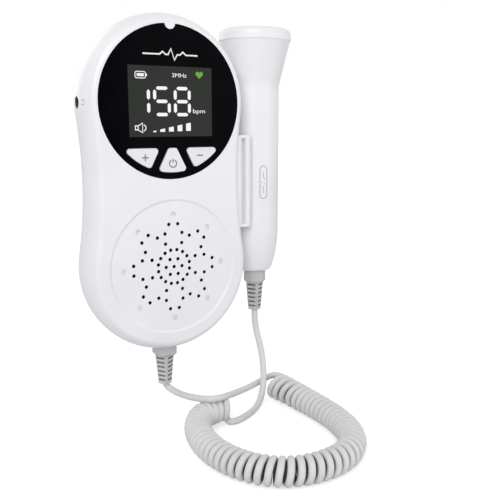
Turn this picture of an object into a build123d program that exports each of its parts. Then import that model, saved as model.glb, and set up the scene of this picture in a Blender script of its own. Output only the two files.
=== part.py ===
from build123d import *
from math import asin, atan2, cos, degrees, pi, radians, sin, sqrt, tan
import os

# Handheld fetal heartbeat monitor with a docked ultrasound probe on a curly cord.
# Millimetres. X is to the right, Y to the back and Z up along the case. The origin is on
# the flat back face, straight behind the centre of the round display.

# Case outline: an upper and a lower round lobe joined by hollow waists
top_r = 34.2
low_r = 35.3
lobe_gap = 65.0
waist_r = 185.0

# Case depth: the front half meets the rear half on the parting plane
case_depth = 28.0
rear_depth = 18.5
front_wall = 2.0
rear_wall = 2.2
side_straight = 0.5
side_curve_r = 14.0
front_edge_r = 2.5
back_edge_w = 15.0
back_edge_depth = 18.0
rim_width = 17.0
seam_groove = 0.15

# Round black display window, let into the upper lobe
window_r = 29.4
window_t = 1.5
window_gap = 0.1
seat_t = 1.5
seat_lap = 1.5
tab_r = 2.2

# Liquid crystal display behind the window
lcd_w = 35.1
lcd_h = 26.5
lcd_z = 0.3
lcd_t = 2.6
lcd_glass_edge = 1.7
lcd_view_edge = 0.9
lcd_frame_wall = 1.2
lcd_gap = 0.1

# Three keys through the window: minus and plus at the sides, power in the middle
key_top_z = -17.3
key_r = 26.8
key_spread = 27.0
power_half_w = 1.65
key_spacing = 3.8
key_corner_r = 1.2
key_proud = 0.7
key_travel = 0.6
key_gap = 0.25
key_flange = 0.8
key_flange_t = 0.9
key_edge_r = 0.3
pad_t = 0.9
pad_gap = 0.3
pad_margin = 1.2
key_rest_gap = 0.1
key_web_drop = 3.0
key_web_half_w = 8.0
key_web_h = 3.0
dome_places = ((-11.6, -21.3), (0.0, -22.3), (11.6, -21.3))

# Circuit board and the metal domes under the keys
board_t = 1.6
board_inset = 3.8
board_low_z = -40.0
dome_r = 2.5
dome_t = 0.4
post_x = 24.5
post_z = -33.5
post_r = 2.6
post_pin_r = 1.0
post_pin_length = 1.2

# Speaker behind a star of small holes in a shallow round recess
speaker_z = -64.7
grille_r = 26.4
grille_depth = 0.5
grille_slope = 62.0
hole_r = 0.74
dimple_r = 1.15
dimple_depth = 0.45
dimple_ring_r = 21.2
inner_ring_r = 3.5
outer_ring_r = 6.95
arm_near_r = 9.5
arm_near_half = 3.55
arm_mid_r = 13.6
arm_mid_half = 3.7
arm_tip_r = 17.3
arm_tip_half = 1.95
mesh_t = 0.3
speaker_r = 18.0
speaker_gap = 0.2
speaker_flange_t = 1.2
basket_depth = 4.2
basket_t = 0.6
cone_t = 0.4
cone_land = 2.2
cone_dip = 2.4
cone_cap_r = 6.0
cone_dome = 0.8
magnet_r = 9.0
magnet_t = 3.3
magnet_edge = 0.5
speaker_wall = 1.4
speaker_wall_depth = 3.4

# Headphone jack in the left side of the upper lobe
jack_z = -0.15
jack_body_x = 11.5
jack_body_h = 6.0
jack_body_t = 5.0
jack_nose_r = 2.3
jack_nose_length = 2.4
jack_nose_gap = 0.1
jack_bore_r = 1.8
jack_inset = 0.2
jack_bore_drop = 0.3

# Battery bay for two AA cells under a sliding cover
cell_r = 7.25
cell_length = 49.2
cell_nub_r = 2.75
cell_nub_length = 1.2
cell_gap = 0.3
bay_top_z = -31.0
bay_half_w = 15.2
bay_wall = 1.6
bay_front_t = 1.2
cover_half_w = 17.5
cover_top_z = -29.6
cover_t = 1.8
cover_gap = 0.25
cover_foot_inset = 9.8
cover_travel = 10.0
rail_t = 1.3
rail_half_w = 18.8
rail_depth = 6.5
hook_t = 0.8
hook_reach = 1.3
hook_length = 6.0
hook_zs = (-42.0, -66.0)
tongue_w = 2.6
tongue_t = 1.1
tongue_reach = 2.6
tongue_x = 13.6
tongue_root = 1.2
tongue_notch = 1.8
rim_below = 7.0
grip_count = 4
grip_pitch = 2.2
grip_w = 14.0
grip_h = 1.0
grip_depth = 0.5
grip_z = -39.0
contact_t = 0.4
contact_w = 9.0
spring_w = 6.0
spring_half_span = 4.2
spring_t = 0.3
spring_rise = 3.3

# Four screws from the back
screw_places = ((-17.5, 21.5), (17.5, 21.5), (-24.5, -77.0), (24.5, -77.0))
screw_r = 1.4
screw_length = 16.0
screw_head_r = 2.6
screw_head_t = 1.8
screw_edge = 0.4
screw_gap = 0.1
screw_seat_y = -8.0
boss_r = 3.2
rear_boss_r = 4.0
boss_shoulder_r = 4.4
pilot_rest = 0.5

# Cable gland and its ribbed sleeve under the case
gland_y = -16.0
gland_w = 8.8
gland_top_z = -100.2
gland_block_t = 4.9
gland_bevel = 1.0
gland_neck_r = 3.0
gland_flange_r = 4.6
gland_flange_t = 1.6
gland_flange_z = -96.6
gland_corner_r = 2.0
gland_gap = 0.05
sleeve_top_w = 6.3
sleeve_low_w = 4.7
sleeve_tip_z = -117.6
sleeve_corner_r = 1.3
sleeve_turn = 32.0
slot_rows = 6
slot_pitch = 1.95
slot_start = 1.56
slot_h = 0.75
slot_share = 0.66
slot_depth = 0.8

# Probe: a handle that widens to a round sensing head at the top
probe_x = 45.65
probe_y = -15.0
handle_r = 10.4
flare_low_z = 8.0
flare_blend_r = 14.0
head_seam_z = 26.4
head_r = 15.4
head_lap = 0.3
head_t = 4.8
head_edge_r = 2.6
head_plug_r = 12.0
head_plug_t = 2.6
head_gap = 0.1
crystal_r = 10.0
crystal_t = 2.0
taper_top_z = -54.0
taper_r = 57.0
handle_foot_z = -72.8
foot_edge_r = 2.2
handle_foot_wall = 3.0
probe_board_w = 13.0
probe_board_t = 1.2
probe_board_length = 52.0
collar_r = 4.9
collar_t = 6.0
collar_bevel = 1.0
probe_sleeve_top_w = 6.4
probe_sleeve_low_w = 4.8
probe_sleeve_tip_z = -91.4
probe_neck_r = 2.6
probe_flange_r = 4.0
probe_flange_t = 1.4
handle_wall = 3.2

# Dock on the right side of the case, with a dovetail that the handle hangs on
dock_top_z = -12.8
dock_h = 38.5
dock_root_x = 25.5
dock_face = 11.0
dock_lip_x = 36.4
dock_groove_x = 33.5
dock_groove_w = 2.2
dock_groove_depth = 2.0
dock_cap = 1.2
dock_tip_angle = 39.0
dock_gap = 0.4
dock_corner_r = 2.0
dovetail_half_w = 1.8
dovetail_flare = 0.8
dovetail_reach = 1.8
dovetail_gap = 0.25
dovetail_drop = 8.0
dovetail_lift = 5.3
hang_gap = 0.3
dock_edge_r = 0.8
dock_peg_x = 29.0
dock_peg_r = 2.0
dock_peg_zs = (-22.0, -42.0)
peg_gap = 0.05
side_room = 1.0

# Cord: smooth leads at both ends of a close-wound curly part lying on the floor
lead_r = 1.4
curl_r = 5.6
lead_end_gap = 0.3

parting_y = -rear_depth
front_y = -case_depth
front_depth = case_depth - rear_depth
seat_front_y = front_y + window_t
seat_back_y = seat_front_y + seat_t
board_y = seat_back_y + key_rest_gap + key_flange_t + key_travel + pad_gap + pad_t + dome_t
jack_y = board_y + board_t + jack_body_t / 2 - jack_bore_drop
bay_length = cell_nub_length + cell_length + spring_rise + 2 * contact_t
window_seat_r = window_r + window_gap
speaker_front_y = front_y + front_wall + mesh_t
dock_low_z = dock_top_z - dock_h

# Centre of the right waist arc, and how far its ends tilt from the level
waist_z = ((waist_r + low_r) ** 2 - (waist_r + top_r) ** 2 - lobe_gap**2) / (2 * lobe_gap)
waist_x = sqrt((waist_r + top_r) ** 2 - waist_z**2)
top_tilt = degrees(atan2(-waist_z, waist_x))
low_tilt = degrees(atan2(waist_z + lobe_gap, waist_x))

# The four arcs of the outline: centre X and Z, radius, start angle, sweep, and which
# side of the arc is outside the case
outline_arcs = (
    (0, 0, top_r, -top_tilt, 180 + 2 * top_tilt, 1),
    (-waist_x, waist_z, waist_r, -low_tilt, top_tilt + low_tilt, -1),
    (0, -lobe_gap, low_r, 180 - low_tilt, 180 + 2 * low_tilt, 1),
    (waist_x, waist_z, waist_r, 180 - top_tilt, top_tilt + low_tilt, -1),
)


def level(y):
    """Plane square to Y at the given place, with X across and Z up. It faces the front."""
    return Plane.XZ.offset(-y)


def case_outline(inset):
    """Outline of the case as a face, moved in by the given distance."""
    with BuildSketch() as outline:
        with BuildLine():
            for x, z, radius, start, sweep, side in outline_arcs:
                CenterArc((x, z), radius - side * inset, start, sweep)
        make_face()
    return outline.sketch


def case_half(profile, depth, forward):
    """Solid half of the case: its edge profile turned along each arc of the outline, round
    a flat core. The profile's x is outwards and its y is away from the parting plane."""
    with BuildPart() as half:
        for x, z, radius, start, sweep, side in outline_arcs:
            centre = Vector(x, parting_y, z)
            ray = Vector(cos(radians(start)), 0, sin(radians(start)))
            edge = Plane(centre + ray * radius, x_dir=ray * side, z_dir=(ray * side).cross(forward))
            with BuildSketch(edge):
                add(profile)
            revolve(axis=Axis(centre, (0, -1, 0)), revolution_arc=sweep)
        with BuildSketch(level(parting_y)):
            add(case_outline(rim_width))
        extrude(amount=depth, dir=forward)
    return half.part


def seam(inset):
    """Corner of a half's profile on the parting plane, with its half of a fine V groove
    outside."""
    return [(-inset, 0)] if inset else [(-seam_groove, 0), (0, seam_groove)]


def front_half(inset):
    """Front of the case: short straight sides that curve in to a small rounded edge."""
    arc_r = side_curve_r - inset
    depth = front_depth - inset
    with BuildSketch() as profile:
        with BuildLine():
            lean = degrees(asin((depth - side_straight) / arc_r))
            flank = CenterArc((-side_curve_r, side_straight), arc_r, 0, lean)
            Polyline(flank @ 1, (-rim_width, depth), (-rim_width, 0), *seam(inset), flank @ 0)
        make_face()
        fillet(profile.vertices().sort_by_distance(flank @ 1)[0], front_edge_r - inset / 2)
    return case_half(profile.sketch, depth, Vector(0, -1, 0))


def rear_half(inset):
    """Back of the case: a large elliptical edge from the parting plane to the flat back."""
    centre = (-back_edge_w, rear_depth - back_edge_depth)
    depth = rear_depth - inset
    with BuildSketch() as profile:
        with BuildLine():
            arc = EllipticalCenterArc(
                centre, back_edge_w - inset, back_edge_depth - inset, 0, arc_size=90
            )
            Polyline(arc @ 1, (-rim_width, depth), (-rim_width, 0), *seam(inset), arc @ 0)
        make_face()
    return case_half(profile.sketch, depth, Vector(0, 1, 0))


def key_outline(side, grow):
    """Key of the ring under the display, with round corners: -1 for plus, 0 for power and
    1 for minus. Each widens downwards and ends on the ring's outer arc."""
    low_z = -2 * key_r
    spread = (key_top_z - low_z) * tan(radians(key_spread))
    inner_w = power_half_w + key_spacing
    if side == 0:
        left, right = (-power_half_w, -power_half_w - spread), (power_half_w, power_half_w + spread)
    else:
        left, right = (side * inner_w, side * (inner_w + spread)), (side * 2 * key_r,) * 2
    with BuildSketch() as outline:
        with BuildLine():
            Polyline(
                (left[0], key_top_z),
                (right[0], key_top_z),
                (right[1], low_z),
                (left[1], low_z),
                close=True,
            )
        make_face()
        Circle(key_r, mode=Mode.INTERSECT)
        fillet(outline.vertices(), key_corner_r)
        if grow:
            offset(amount=grow, kind=Kind.ARC)
    return outline.sketch


def ribbed_sleeve(axis_x, axis_y, top_z, tip_z, top_w, low_w):
    """Square sleeve with round corners that narrows to the lead, with rows of slots across
    its four faces so that it can bend."""
    with BuildPart() as sleeve:
        for z, width in ((top_z, top_w), (tip_z, low_w)):
            with BuildSketch(Plane((axis_x, axis_y, z))):
                RectangleRounded(width, width, sleeve_corner_r, rotation=sleeve_turn)
        loft()
        for row in range(slot_rows):
            z = tip_z + slot_start + slot_pitch * row
            half_w = (low_w + (top_w - low_w) * (z - tip_z) / (top_z - tip_z)) / 2
            with BuildSketch(Plane((axis_x, axis_y, z))):
                with PolarLocations(half_w, 4, start_angle=sleeve_turn):
                    Rectangle(2 * slot_depth, 2 * half_w * slot_share)
            extrude(amount=slot_h, mode=Mode.SUBTRACT)
    return sleeve.part


def dovetail(grow):
    """Section of the dock's rib, wider away from the dock, grown all round for its slot."""
    rib_x = probe_x - handle_r
    with BuildSketch() as outline:
        with BuildLine():
            Polyline(
                (rib_x - 2 * dock_gap, probe_y - dovetail_half_w),
                (rib_x, probe_y - dovetail_half_w),
                (rib_x + dovetail_reach, probe_y - dovetail_half_w - dovetail_flare),
                (rib_x + dovetail_reach, probe_y + dovetail_half_w + dovetail_flare),
                (rib_x, probe_y + dovetail_half_w),
                (rib_x - 2 * dock_gap, probe_y + dovetail_half_w),
                close=True,
            )
        make_face()
        if grow:
            offset(amount=grow, kind=Kind.INTERSECTION)
    return outline.sketch


def bend_radii(points):
    """As large an arc at each corner of a cord's route as its two runs leave room for."""
    radii = []
    for before, corner, after in zip(points[:-2], points[1:-1], points[2:]):
        run_in = Vector(corner) - Vector(before)
        run_out = Vector(after) - Vector(corner)
        half_turn = radians(run_in.get_angle(run_out) / 2)
        radii.append(0.45 * min(run_in.length, run_out.length) / tan(half_turn))
    return radii


case_front = front_half(0)
case_rear = rear_half(0)

# What stands inside the front half, up to its front wall
wall_back_y = front_y + front_wall
with BuildPart() as front_fittings:
    # Seat behind the display window
    with BuildSketch(level(seat_back_y)):
        Circle(window_seat_r + seat_lap)
    extrude(amount=seat_t)
    # Round wall that holds the speaker
    with BuildSketch(level(wall_back_y + speaker_wall_depth)):
        with Locations((0, speaker_z)):
            Circle(speaker_r + speaker_gap + speaker_wall)
            Circle(speaker_r + speaker_gap, mode=Mode.SUBTRACT)
    extrude(amount=speaker_wall_depth)
    # Screw bosses, the upper two with a shoulder for the circuit board
    with BuildSketch(level(parting_y)):
        with Locations(*screw_places):
            Circle(boss_r)
    extrude(amount=parting_y - wall_back_y)
    with BuildSketch(level(board_y)):
        with Locations(*screw_places[:2]):
            Circle(boss_shoulder_r)
    extrude(amount=board_y - wall_back_y)
    # Two posts that carry the lower end of the board on their pins
    for radius, y in ((post_pin_r, board_y + post_pin_length), (post_r, board_y)):
        with BuildSketch(level(y)):
            with Locations((-post_x, post_z), (post_x, post_z)):
                Circle(radius)
        extrude(amount=y - wall_back_y)
    with BuildSketch(level(parting_y)):
        with Locations(*screw_places):
            Circle(screw_r + screw_gap / 2)
    extrude(amount=screw_length - screw_seat_y + parting_y + pilot_rest, mode=Mode.SUBTRACT)

with BuildPart() as front_housing:
    add(case_front)
    add(front_half(front_wall), mode=Mode.SUBTRACT)
    add(front_fittings.part)
    # Recess for the window, with a half-round tab left at its top
    with BuildSketch(level(seat_front_y)):
        Circle(window_seat_r)
        with Locations((0, window_seat_r)):
            Circle(tab_r, mode=Mode.SUBTRACT)
    extrude(amount=window_t, mode=Mode.SUBTRACT)
    # Openings for the display and the keys
    with BuildSketch(level(seat_back_y)):
        with Locations((0, lcd_z)):
            Rectangle(lcd_w + 2 * lcd_view_edge, lcd_h + 2 * lcd_view_edge)
        for side in (-1, 0, 1):
            add(key_outline(side, key_gap))
    extrude(amount=seat_t, mode=Mode.SUBTRACT)
    # Speaker grille: a shallow dish with sloping sides, a star of holes and eight dimples
    with BuildSketch(level(front_y + grille_depth)):
        with Locations((0, speaker_z)):
            Circle(grille_r)
    extrude(amount=grille_depth, taper=-grille_slope, mode=Mode.SUBTRACT)
    with BuildSketch(level(front_y + front_wall)):
        with Locations((0, speaker_z)):
            Circle(hole_r)
            with PolarLocations(inner_ring_r, 6):
                Circle(hole_r)
            with PolarLocations(outer_ring_r, 16, start_angle=11.25):
                Circle(hole_r)
            with PolarLocations(arm_near_r, 4):
                with Locations((0, -arm_near_half), (0, arm_near_half)):
                    Circle(hole_r)
            for arm_r, arm_half in ((arm_mid_r, arm_mid_half), (arm_tip_r, arm_tip_half)):
                with PolarLocations(arm_r, 8):
                    with Locations((0, -arm_half), (0, arm_half)):
                        Circle(hole_r)
    extrude(amount=front_wall, mode=Mode.SUBTRACT)
    with BuildSketch(level(front_y + grille_depth + dimple_depth)):
        with Locations((0, speaker_z)):
            with PolarLocations(dimple_ring_r, 8):
                Circle(dimple_r)
    extrude(amount=dimple_depth, mode=Mode.SUBTRACT)
    # Its part of the holes for the headphone jack and the gland
    with BuildSketch(Plane.YZ.offset(-top_r)):
        with Locations((jack_y, jack_z)):
            Circle(jack_nose_r + jack_nose_gap)
    extrude(amount=2 * front_wall, mode=Mode.SUBTRACT)
    with BuildSketch(Plane((0, gland_y, gland_top_z - front_wall))):
        Circle(gland_neck_r + gland_gap)
    extrude(amount=3 * front_wall, mode=Mode.SUBTRACT)
front_housing.part.label = "front_housing"
export_step(front_housing.part, "parts/front_housing.step")

# Battery bay: two walls deep, with a thick rim that the cover slides on
bay_floor_y = -cover_t - cover_gap - 2 * cell_r - cell_gap
bay_front_y = bay_floor_y - bay_front_t
bay_mid_z = bay_top_z - bay_length / 2
cell_y = -cover_t - cover_gap - cell_r
rail_face_y = -cover_t - cover_gap
hook_pocket_y = rail_face_y - rail_t

with BuildPart() as rear_shell:
    add(case_rear)
    add(rear_half(rear_wall), mode=Mode.SUBTRACT)

with BuildPart() as rear_housing:
    # Bay walls, the rim round the bay and the screw bosses, trimmed to the case
    with BuildSketch(level(bay_front_y)):
        with Locations((0, bay_mid_z)):
            Rectangle(2 * (bay_half_w + bay_wall), bay_length + 2 * bay_wall)
    extrude(amount=bay_front_y)
    with BuildSketch(level(parting_y)):
        with Locations(*screw_places):
            Circle(rear_boss_r)
    extrude(amount=-rear_depth)
    with BuildSketch(level(-rail_depth)):
        with Locations((0, bay_top_z + bay_wall)):
            Rectangle(2 * rail_half_w, bay_length + rim_below, align=(Align.CENTER, Align.MAX))
    extrude(amount=-rail_depth)
    add(case_rear, mode=Mode.INTERSECT)
    add(rear_shell.part)
    # Room for the cells, and the recess that the cover lies in, open at the foot
    with BuildSketch(level(bay_floor_y)):
        with Locations((0, bay_mid_z)):
            Rectangle(2 * bay_half_w, bay_length)
    extrude(amount=bay_floor_y, mode=Mode.SUBTRACT)
    with BuildSketch(level(rail_face_y)):
        with Locations((0, cover_top_z + cover_gap)):
            Rectangle(2 * (cover_half_w + cover_gap), 2 * low_r, align=(Align.CENTER, Align.MAX))
    extrude(amount=rail_face_y, mode=Mode.SUBTRACT)
    # Notches in the top wall for the cover's tongues
    with BuildSketch(level(rail_face_y - tongue_notch)):
        with Locations((-tongue_x, bay_top_z), (tongue_x, bay_top_z)):
            Rectangle(tongue_w + 2 * cover_gap, 2 * bay_wall)
    extrude(amount=-tongue_notch, mode=Mode.SUBTRACT)
    # Pockets under the rim for the cover's hooks, each with a gap where the hook goes in
    with BuildSketch(level(hook_pocket_y - hook_t - 2 * cover_gap)):
        for side in (-1, 1):
            with Locations(*[(side * bay_half_w, z + cover_gap) for z in hook_zs]):
                Rectangle(
                    2 * (hook_reach + cover_gap),
                    cover_travel + hook_length + 2 * cover_gap,
                    align=(Align.CENTER, Align.MAX),
                )
    extrude(amount=-hook_t - 2 * cover_gap, mode=Mode.SUBTRACT)
    with BuildSketch(level(hook_pocket_y)):
        for side in (-1, 1):
            with Locations(*[(side * bay_half_w, z + cover_gap - cover_travel) for z in hook_zs]):
                Rectangle(
                    2 * (hook_reach + cover_gap),
                    hook_length + 2 * cover_gap,
                    align=(Align.CENTER, Align.MAX),
                )
    extrude(amount=-rail_t, mode=Mode.SUBTRACT)
    # Screw holes, sunk for the heads
    with BuildSketch(level(parting_y)):
        with Locations(*screw_places):
            Circle(screw_r + screw_gap)
    extrude(amount=-rear_depth, mode=Mode.SUBTRACT)
    with BuildSketch(level(screw_seat_y)):
        with Locations(*screw_places):
            Circle(screw_head_r + screw_gap)
    extrude(amount=screw_seat_y, mode=Mode.SUBTRACT)
    # Holes for the dock's pegs, and its part of those for the headphone jack and the gland
    with BuildSketch(Plane.YZ.offset(dock_peg_x)):
        with Locations(*[(probe_y, z) for z in dock_peg_zs]):
            Circle(dock_peg_r + peg_gap)
    extrude(amount=2 * front_wall + side_room, mode=Mode.SUBTRACT)
    with BuildSketch(Plane.YZ.offset(-top_r)):
        with Locations((jack_y, jack_z)):
            Circle(jack_nose_r + jack_nose_gap)
    extrude(amount=2 * front_wall, mode=Mode.SUBTRACT)
    with BuildSketch(Plane((0, gland_y, gland_top_z - front_wall))):
        Circle(gland_neck_r + gland_gap)
    extrude(amount=3 * front_wall, mode=Mode.SUBTRACT)
rear_housing.part.label = "rear_housing"
export_step(rear_housing.part, "parts/rear_housing.step")

# Window: a disc of black acrylic with a notch for the tab and openings for the keys
with BuildPart() as display_window:
    with BuildSketch(level(seat_front_y)):
        Circle(window_r)
        with Locations((0, window_seat_r)):
            Circle(tab_r + window_gap, mode=Mode.SUBTRACT)
        for side in (-1, 0, 1):
            add(key_outline(side, key_gap), mode=Mode.SUBTRACT)
    extrude(amount=window_t)
display_window.part.label = "display_window"
export_step(display_window.part, "parts/display_window.step")

# Display panel, and the frame that holds it on the circuit board
glass_w = lcd_w + 2 * lcd_glass_edge
glass_h = lcd_h + 2 * lcd_glass_edge
with BuildPart() as lcd_panel:
    with BuildSketch(level(seat_back_y + lcd_gap + lcd_t)):
        with Locations((0, lcd_z)):
            Rectangle(glass_w, glass_h)
    extrude(amount=lcd_t)
    chamfer(lcd_panel.faces().sort_by(Axis.Y)[0].edges(), lcd_gap)
lcd_panel.part.label = "lcd_panel"
export_step(lcd_panel.part, "parts/lcd_panel.step")

with BuildPart() as lcd_frame:
    with BuildSketch(level(board_y)):
        with Locations((0, lcd_z)):
            RectangleRounded(
                glass_w + 2 * (lcd_gap + lcd_frame_wall),
                glass_h + 2 * (lcd_gap + lcd_frame_wall),
                lcd_frame_wall,
            )
            Rectangle(glass_w + 2 * lcd_gap, glass_h + 2 * lcd_gap, mode=Mode.SUBTRACT)
    extrude(amount=board_y - seat_back_y)
lcd_frame.part.label = "lcd_frame"
export_step(lcd_frame.part, "parts/lcd_frame.step")

# Keys: each a cap with a flange that keeps it in, over one silicone pad with three domes
for side, name in ((-1, "button_plus"), (0, "button_power"), (1, "button_minus")):
    with BuildPart() as button:
        with BuildSketch(level(seat_back_y + key_rest_gap)):
            add(key_outline(side, 0))
        extrude(amount=seat_back_y + key_rest_gap - front_y + key_proud)
        fillet(button.faces().sort_by(Axis.Y)[0].edges(), key_edge_r)
        with BuildSketch(level(seat_back_y + key_rest_gap + key_flange_t)):
            add(key_outline(side, key_flange))
        extrude(amount=key_flange_t)
    button.part.label = name
    export_step(button.part, "parts/" + name + ".step")

pad_y = board_y - dome_t
with BuildPart() as keypad_membrane:
    with BuildSketch(level(pad_y)):
        for side in (-1, 0, 1):
            add(key_outline(side, pad_margin))
        with Locations((0, key_top_z - key_web_drop)):
            Rectangle(2 * key_web_half_w, key_web_h)
    extrude(amount=pad_t)
keypad_membrane.part.label = "keypad_membrane"
export_step(keypad_membrane.part, "parts/keypad_membrane.step")

with BuildPart() as key_domes:
    with BuildSketch(level(board_y)):
        with Locations(*dome_places):
            Circle(dome_r)
    extrude(amount=dome_t)
    chamfer(key_domes.faces().filter_by(Plane.XZ).group_by(Axis.Y)[0].edges(), dome_t / 2)
key_domes.part.label = "key_domes"
export_step(key_domes.part, "parts/key_domes.step")

# Circuit board, from the top of the case to just above the speaker
with BuildPart() as main_board:
    with BuildSketch(level(board_y + board_t)):
        add(case_outline(board_inset))
        with Locations((0, board_low_z)):
            Rectangle(2 * low_r, 2 * low_r, align=(Align.CENTER, Align.MAX), mode=Mode.SUBTRACT)
        with Locations(*screw_places[:2]):
            Circle(boss_r + screw_gap, mode=Mode.SUBTRACT)
        with Locations((-post_x, post_z), (post_x, post_z)):
            Circle(post_pin_r + screw_gap, mode=Mode.SUBTRACT)
    extrude(amount=board_t)
main_board.part.label = "main_board"
export_step(main_board.part, "parts/main_board.step")

# Speaker: dust cloth, pressed basket with its flange, paper cone and magnet
speaker_axis = Axis((0, 0, speaker_z), (0, 1, 0))
with BuildPart() as speaker_cloth:
    with BuildSketch(level(speaker_front_y)):
        with Locations((0, speaker_z)):
            Circle(speaker_r)
    extrude(amount=mesh_t)
speaker_cloth.part.label = "speaker_cloth"
export_step(speaker_cloth.part, "parts/speaker_cloth.step")

basket_back_y = speaker_front_y + basket_depth
with BuildPart() as speaker_basket:
    with BuildSketch(Plane.XY.offset(speaker_z)):
        with BuildLine():
            Polyline(
                (speaker_r - cone_land, speaker_front_y),
                (speaker_r, speaker_front_y),
                (speaker_r, speaker_front_y + speaker_flange_t),
                (speaker_r - cone_land, speaker_front_y + speaker_flange_t),
                (magnet_r + basket_t, basket_back_y),
                (0, basket_back_y),
                (0, basket_back_y - basket_t),
                (magnet_r, basket_back_y - basket_t),
                (speaker_r - cone_land - basket_t, speaker_front_y + speaker_flange_t),
                (speaker_r - cone_land, speaker_front_y + speaker_flange_t / 2),
                close=True,
            )
        make_face()
    revolve(axis=speaker_axis)
speaker_basket.part.label = "speaker_basket"
export_step(speaker_basket.part, "parts/speaker_basket.step")

with BuildPart() as speaker_cone:
    with BuildSketch(Plane.XY.offset(speaker_z)):
        with BuildLine():
            Polyline(
                (0, speaker_front_y + cone_dip - cone_dome),
                (cone_cap_r, speaker_front_y + cone_dip),
                (speaker_r - cone_land, speaker_front_y + speaker_flange_t / 2 - cone_t),
                (speaker_r - cone_land, speaker_front_y + speaker_flange_t / 2),
                (cone_cap_r, speaker_front_y + cone_dip + cone_t),
                (0, speaker_front_y + cone_dip - cone_dome + cone_t),
                close=True,
            )
        make_face()
    revolve(axis=speaker_axis)
speaker_cone.part.label = "speaker_cone"
export_step(speaker_cone.part, "parts/speaker_cone.step")

with BuildPart() as speaker_magnet:
    with BuildSketch(level(basket_back_y + magnet_t)):
        with Locations((0, speaker_z)):
            Circle(magnet_r)
    extrude(amount=magnet_t)
    chamfer(speaker_magnet.faces().sort_by(Axis.Y)[-1].edges(), magnet_edge)
speaker_magnet.part.label = "speaker_magnet"
export_step(speaker_magnet.part, "parts/speaker_magnet.step")

# Headphone jack: a block on the back of the board with a round nose in the case's side
jack_mouth_x = jack_inset - top_r
with BuildPart() as headphone_jack:
    with BuildSketch(Plane.YZ.offset(jack_mouth_x + jack_nose_length)):
        with Locations((board_y + board_t + jack_body_t / 2, jack_z)):
            Rectangle(jack_body_t, jack_body_h)
    extrude(amount=jack_body_x)
    with BuildSketch(Plane.YZ.offset(jack_mouth_x)):
        with Locations((jack_y, jack_z)):
            Circle(jack_nose_r)
    extrude(amount=jack_nose_length)
    with BuildSketch(Plane.YZ.offset(jack_mouth_x)):
        with Locations((jack_y, jack_z)):
            Circle(jack_bore_r)
    extrude(amount=jack_nose_length + jack_body_x, mode=Mode.SUBTRACT)
headphone_jack.part.label = "headphone_jack"
export_step(headphone_jack.part, "parts/headphone_jack.step")

# Battery cover, flush with the back of the case and its rounded foot
with BuildPart() as battery_cover:
    with BuildSketch(level(-cover_t)):
        with Locations((0, -lobe_gap)):
            Circle(low_r - cover_foot_inset)
            Rectangle(2 * cover_half_w, 2 * low_r, mode=Mode.INTERSECT)
            Rectangle(
                2 * cover_half_w, cover_top_z + lobe_gap, align=(Align.CENTER, Align.MIN)
            )
    extrude(amount=-cover_t)
    add(case_rear, mode=Mode.INTERSECT)
    # Grooves for the thumb
    with BuildSketch(level(0)):
        with Locations((0, grip_z)):
            with GridLocations(0, grip_pitch, 1, grip_count):
                SlotOverall(grip_w, grip_h)
    extrude(amount=grip_depth, mode=Mode.SUBTRACT)
    # Hooks that reach under the rim of the bay, and tongues that reach under its top
    toe_y = hook_pocket_y - cover_gap
    for side in (-1, 1):
        stem_x = side * (bay_half_w - cover_gap - hook_t / 2)
        toe_x = side * (bay_half_w + (hook_reach - cover_gap - hook_t) / 2)
        toe_w = hook_reach + cover_gap + hook_t
        for x, width, height in ((stem_x, hook_t, toe_y - hook_t + cover_t), (toe_x, toe_w, -hook_t)):
            with BuildSketch(level(toe_y - hook_t)):
                with Locations(*[(x, z) for z in hook_zs]):
                    Rectangle(width, hook_length, align=(Align.CENTER, Align.MAX))
            extrude(amount=height)
        tongue_y = -rear_wall - cover_gap - tongue_t
        root_z = bay_top_z - cover_gap - tongue_root
        tongue_top_z = cover_top_z + tongue_reach
        for height, top in ((-tongue_t, tongue_top_z), (tongue_y + cover_t, root_z + tongue_root)):
            with BuildSketch(level(tongue_y)):
                with Locations((side * tongue_x, root_z)):
                    Rectangle(tongue_w, top - root_z, align=(Align.CENTER, Align.MIN))
            extrude(amount=height)
battery_cover.part.label = "battery_cover"
export_step(battery_cover.part, "parts/battery_cover.step")

# Two AA cells side by side, one each way up
cell_x = bay_half_w / 2
bay_low_z = bay_top_z - bay_length
with BuildPart() as battery_cells:
    for side in (-1, 1):
        # The button end stands on its contact, the flat end on its spring
        nub_z = bay_top_z - contact_t if side < 0 else bay_low_z + contact_t
        for radius, start, length in (
            (cell_nub_r, 0, cell_nub_length),
            (cell_r, cell_nub_length, cell_length),
        ):
            with BuildSketch(Plane((side * cell_x, cell_y, nub_z + side * start))):
                Circle(radius)
            extrude(amount=side * length)
battery_cells.part.label = "battery_cells"
export_step(battery_cells.part, "parts/battery_cells.step")

# Contact plates: two at the top and one that joins both cells at the foot
with BuildPart() as battery_contacts:
    with BuildSketch(Plane((0, cell_y, bay_top_z - contact_t))):
        with Locations((-cell_x, 0), (cell_x, 0)):
            Rectangle(contact_w, contact_w)
    extrude(amount=contact_t)
    with BuildSketch(Plane((0, cell_y, bay_low_z))):
        Rectangle(2 * cell_x + contact_w, contact_w)
    extrude(amount=contact_t)
battery_contacts.part.label = "battery_contacts"
export_step(battery_contacts.part, "parts/battery_contacts.step")

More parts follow.
